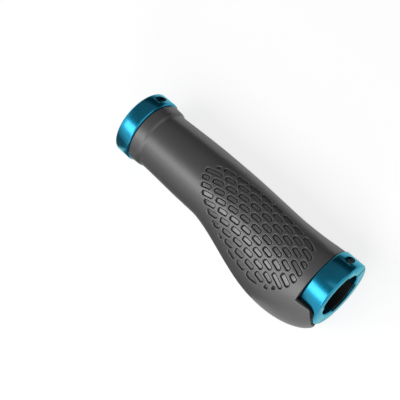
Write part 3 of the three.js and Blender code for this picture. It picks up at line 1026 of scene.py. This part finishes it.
def screwFrame(low, high):
    # place of a clamp's screw: +Z of this frame is the way its head looks
    turn = math.radians(clampLook["slitAngle"] - wingDip)
    axis = Vector((0, -math.sin(turn), -math.cos(turn)))
    station = (outerFace - (low + high) / 2) / millimetre
    centre = Vector(placeAt(station, clampLook["slitAngle"], clampLook["screwOffset"]))
    return Matrix.Translation(centre) @ axis.to_track_quat("Z", "X").to_matrix().to_4x4()


def drill(target, frameHere, radius, floor, top):
    # cuts one round hole into the target
    work = bmesh.new()
    bmesh.ops.create_cone(
        work, cap_ends=True, segments=clampLook["holeFacets"],
        radius1=radius * millimetre, radius2=radius * millimetre, depth=(top - floor) * millimetre,
        matrix=frameHere @ Matrix.Translation((0, 0, (floor + top) / 2 * millimetre)),
    )
    mesh = bpy.data.meshes.new("drill")
    work.to_mesh(mesh)
    work.free()
    tool = newObject("drill", mesh)
    cut = target.modifiers.new("cut", "BOOLEAN")
    cut.operation, cut.solver, cut.object = "DIFFERENCE", "EXACT", tool
    graph = bpy.context.evaluated_depsgraph_get()
    result = bpy.data.meshes.new_from_object(target.evaluated_get(graph))
    target.modifiers.remove(cut)
    target.data = result
    bpy.data.objects.remove(tool)


def addClamp(name, nodeName):
    low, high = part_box(nodeName)
    body = newObject("draftClamp", clampBody(low.x, high.x))
    frameHere = screwFrame(low.x, high.x)
    for hole in ("headHole", "shankHole"):
        drill(body, frameHere, clampLook[hole + "Radius"], clampLook[hole + "Floor"], clampRadius)
    mesh = body.data
    bpy.data.objects.remove(body)
    addPiece(name, mesh, blueAluminium, "blue_aluminium", clampLook["sharpAngle"], nodeName)
    return frameHere


screwFrames = [addClamp("outerRing", "outer_clamp"), addClamp("innerRing", "inner_clamp")]

# the screws, placed by geometry nodes, in millimetres
screwLook = {
    "headRadius": 1.8,
    "headFloor": 3.9,
    "headTop": 6.3,
    "edge": 0.3,
    "edgeShare": 0.3,
    "shankRadius": 1.2,
    "shankEnd": -6.8,
    "socketWidth": 2.0,
    "socketDepth": 1.3,
    "facets": 48,
    "sharpAngle": 30,
}


def screwBody():
    # one screw, turned from its profile: the axis is +Z, with the head on top
    shank, head, edge, count = (screwLook[name] for name in ("shankRadius", "headRadius", "edge", "facets"))
    end, floor, top = (screwLook[name] for name in ("shankEnd", "headFloor", "headTop"))
    rounding = edge * screwLook["edgeShare"]
    profile = [
        (shank - edge, end), (shank, end + edge), (shank, floor), (head, floor), (head, top - edge),
        (head - rounding, top - rounding), (head - edge, top),
    ]
    points = []
    for radius, height in profile:
        for i in range(count):
            turn = 2 * math.pi * i / count
            x, y = radius * math.cos(turn) * millimetre, radius * math.sin(turn) * millimetre
            points.append((x, y, height * millimetre))
    return loftMesh("screwBody", points, count)


def buildScrewTree():
    # cuts the hexagonal socket into one screw and puts a copy at each point
    tree, given, result = newTree(
        "placeScrews", "GeometryNodeTree",
        {"Geometry": ["Geometry"], "Object": ["Screw"], "Material": ["Steel"], "Vector": ["Turn"],
         "Float": ["Socket Width", "Socket Depth", "Head Top"]},
        {"Geometry": ["Geometry"]},
    )
    body = addNode(tree, "GeometryNodeObjectInfo")
    hexagon = addNode(tree, "GeometryNodeMeshCylinder", {"Vertices": 6})
    lift = addNode(tree, "GeometryNodeTransform")
    height = addNode(tree, "ShaderNodeCombineXYZ")
    cut = addNode(tree, "GeometryNodeMeshBoolean", operation="DIFFERENCE")
    copies = addNode(tree, "GeometryNodeInstanceOnPoints")
    # a socket's width over its flats gives the radius to its corners
    radius = mathNode(tree, "DIVIDE", given["Socket Width"], math.sqrt(3))
    depth = mathNode(tree, "MULTIPLY", given["Socket Depth"], 2)
    link(given["Screw"], body.inputs["Object"])
    link(radius, hexagon.inputs["Radius"])
    link(depth, hexagon.inputs["Depth"])
    link(given["Head Top"], height.inputs["Z"])
    link(hexagon.outputs["Mesh"], lift.inputs["Geometry"])
    link(height.outputs["Vector"], lift.inputs["Translation"])
    link(body.outputs["Geometry"], cut.inputs["Mesh 1"])
    link(lift.outputs["Geometry"], cut.inputs["Mesh 2"])
    link(given["Geometry"], copies.inputs["Points"])
    link(cut.outputs["Mesh"], copies.inputs["Instance"])
    link(given["Turn"], copies.inputs["Rotation"])
    return finishTree(tree, copies.outputs["Instances"], (), given["Steel"], result)


def addScrews():
    body = newObject("screwBody", screwBody())
    places = newMesh("screwPlaces", [tuple(place.translation) for place in screwFrames])
    mesh = meshFromNodes(newObject("draftScrews", places), buildScrewTree(), {
        "Screw": body,
        "Steel": screwSteel,
        "Turn": tuple(screwFrames[0].to_euler()),
        "Socket Width": screwLook["socketWidth"] * millimetre,
        "Socket Depth": screwLook["socketDepth"] * millimetre,
        "Head Top": screwLook["headTop"] * millimetre,
    })
    bpy.data.objects.remove(body)
    sharpAngle = screwLook["sharpAngle"]
    addPiece(
        "clampScrews", mesh, screwSteel, "screw_steel", sharpAngle, "outer_clamp_screw", "inner_clamp_screw"
    )


addScrews()

# camera at the photo's viewing angle, placed from the middle of the grip's outer end face
cameraView = {
    "lens": 90,
    "sensorWidth": 36,
    "clip": (0.01, 20),
    "place": (0.0924, -0.1757, 0.4008),
    "right": (0.696, 0.718, 0.0),
    "up": (-0.618, 0.598, 0.51),
    "wingAngle": 38,
}


def addCamera():
    data = bpy.data.cameras.new("camera")
    data.lens = cameraView["lens"]
    data.sensor_width = cameraView["sensorWidth"]
    data.clip_start, data.clip_end = cameraView["clip"]
    camera = newObject("camera", data)
    # the view was found with the wing at its own angle below level, so it turns with the grip
    turn = Matrix.Rotation(-math.radians(cameraView["wingAngle"] - wingDip), 4, "X")
    right = Vector(cameraView["right"]).normalized()
    back = right.cross(Vector(cameraView["up"])).normalized()
    up = back.cross(right)
    pose = Matrix((right, up, back)).transposed().to_4x4()
    pose.translation = Vector(cameraView["place"])
    camera.matrix_world = Matrix.Translation((outerFace, barY, barZ)) @ turn @ pose
    scene.camera = camera


# studio: a pale floor, soft lamps, and cards that only reflections see
# each lamp or card: name, power or glow, place, point it faces, size
studio = {
    "floorColor": (0.3, 0.3, 0.3, 1),
    "floorGlow": 0.78,
    "floorSize": 6.0,
    "worldLight": 0.22,
    "lamps": [
        ("keyLamp", 3.5, (-0.22, -0.44, 0.57), (-0.22, 0, 0.015), (0.9, 0.36)),
        ("frontLamp", 1.0, (0.35, -0.42, 0.28), (0, 0, 0.015), (0.25, 0.2)),
        ("fillLamp", 0.4, (0.2, 0.55, 0.45), (0, 0, 0.015), (0.5, 0.4)),
    ],
    "cards": [
        ("skyCard", 0.24, (-0.16, 0.3, 0.4), (0, 0, 0.015), (1.1, 0.75)),
        ("topCard", 0.16, (-0.16, -0.15, 0.68), (-0.16, 0, 0), (1.1, 0.32)),
        ("farCard", 0.02, (-0.1, 0.3, 0.07), (-0.1, 0, 0.07), (1.2, 0.16)),
        ("farFlag", 0.08, (-0.1, 0.3, 0.001), (-0.1, 0.3, 1), (1.2, 0.4)),
        ("lowFlag", 0.15, (-0.02, -0.185, 0.001), (-0.02, -0.185, 1), (0.1, 0.33)),
        ("leftFlag", 0.15, (-0.2, -0.185, 0.001), (-0.2, -0.185, 1), (0.25, 0.33)),
        ("sideCard", 0.5, (-0.42, -0.36, 0.055), (-0.3, 0, 0.055), (0.6, 0.13)),
    ],
}


def facing(place, target):
    return (Vector(target) - Vector(place)).to_track_quat("-Z", "Y")


def rectangle(name, width, height):
    x, y = width / 2, height / 2
    return newMesh(name, [(-x, -y, 0), (x, -y, 0), (x, y, 0), (-x, y, 0)], [(0, 1, 2, 3)])


def addLamp(name, power, place, target, size):
    lamp = bpy.data.lights.new(name, "AREA")
    lamp.shape = "RECTANGLE"
    lamp.size, lamp.size_y = size
    lamp.energy = power
    item = newObject(name, lamp)
    item.location = place
    item.rotation_euler = facing(place, target).to_euler()


def addCard(name, glow, place, target, size):
    mesh = rectangle(name, *size)
    mesh.materials.append(newMaterial(name, {"Strength": glow}, "ShaderNodeEmission")[0])
    mesh.transform(Matrix.Translation(place) @ facing(place, target).to_matrix().to_4x4())
    card = newObject(name, mesh)
    for sight in ("camera", "diffuse", "shadow", "transmission"):
        setattr(card, "visible_" + sight, False)


def addFloor():
    mesh = rectangle("floor", studio["floorSize"], studio["floorSize"])
    constants = {"Base Color": studio["floorColor"], "Roughness": 1.0}
    material, tree, shader = newMaterial("paleFloor", constants)
    surface = shader.outputs["BSDF"].links[0].to_socket
    # the camera and reflections see it white, and its own shading keeps the shadow
    glow = addNode(tree, "ShaderNodeEmission")
    path = addNode(tree, "ShaderNodeLightPath")
    seen = mathNode(tree, "MAXIMUM", path.outputs["Is Camera Ray"], path.outputs["Is Glossy Ray"])
    link(mathNode(tree, "MULTIPLY", seen, studio["floorGlow"]), glow.inputs["Strength"])
    joined = addNode(tree, "ShaderNodeAddShader")
    link(shader.outputs["BSDF"], joined.inputs[0])
    link(glow.outputs["Emission"], joined.inputs[1])
    link(joined.outputs["Shader"], surface)
    mesh.materials.append(material)
    floor = newObject("floor", mesh)


def setWorld():
    world = bpy.data.worlds.new("studio")
    scene.world = world
    world.use_nodes = True
    tree = world.node_tree
    tree.nodes.clear()
    path = addNode(tree, "ShaderNodeLightPath")
    background = addNode(tree, "ShaderNodeBackground", {"Color": (1, 1, 1, 1)})
    output = addNode(tree, "ShaderNodeOutputWorld")
    seen = mathNode(tree, "MAXIMUM", path.outputs["Is Camera Ray"], path.outputs["Is Glossy Ray"])
    seen = mathNode(tree, "MAXIMUM", seen, path.outputs["Is Transmission Ray"])
    rest = mathNode(tree, "MULTIPLY", mathNode(tree, "SUBTRACT", 1, seen), studio["worldLight"])
    link(mathNode(tree, "ADD", seen, rest), background.inputs["Strength"])
    link(background.outputs["Background"], output.inputs["Surface"])


addCamera()
addFloor()
setWorld()
for card in studio["cards"]:
    addCard(*card)
for lamp in studio["lamps"]:
    addLamp(*lamp)
scene.view_settings.view_transform = "Standard"
print("studio ready")

print("scene built")
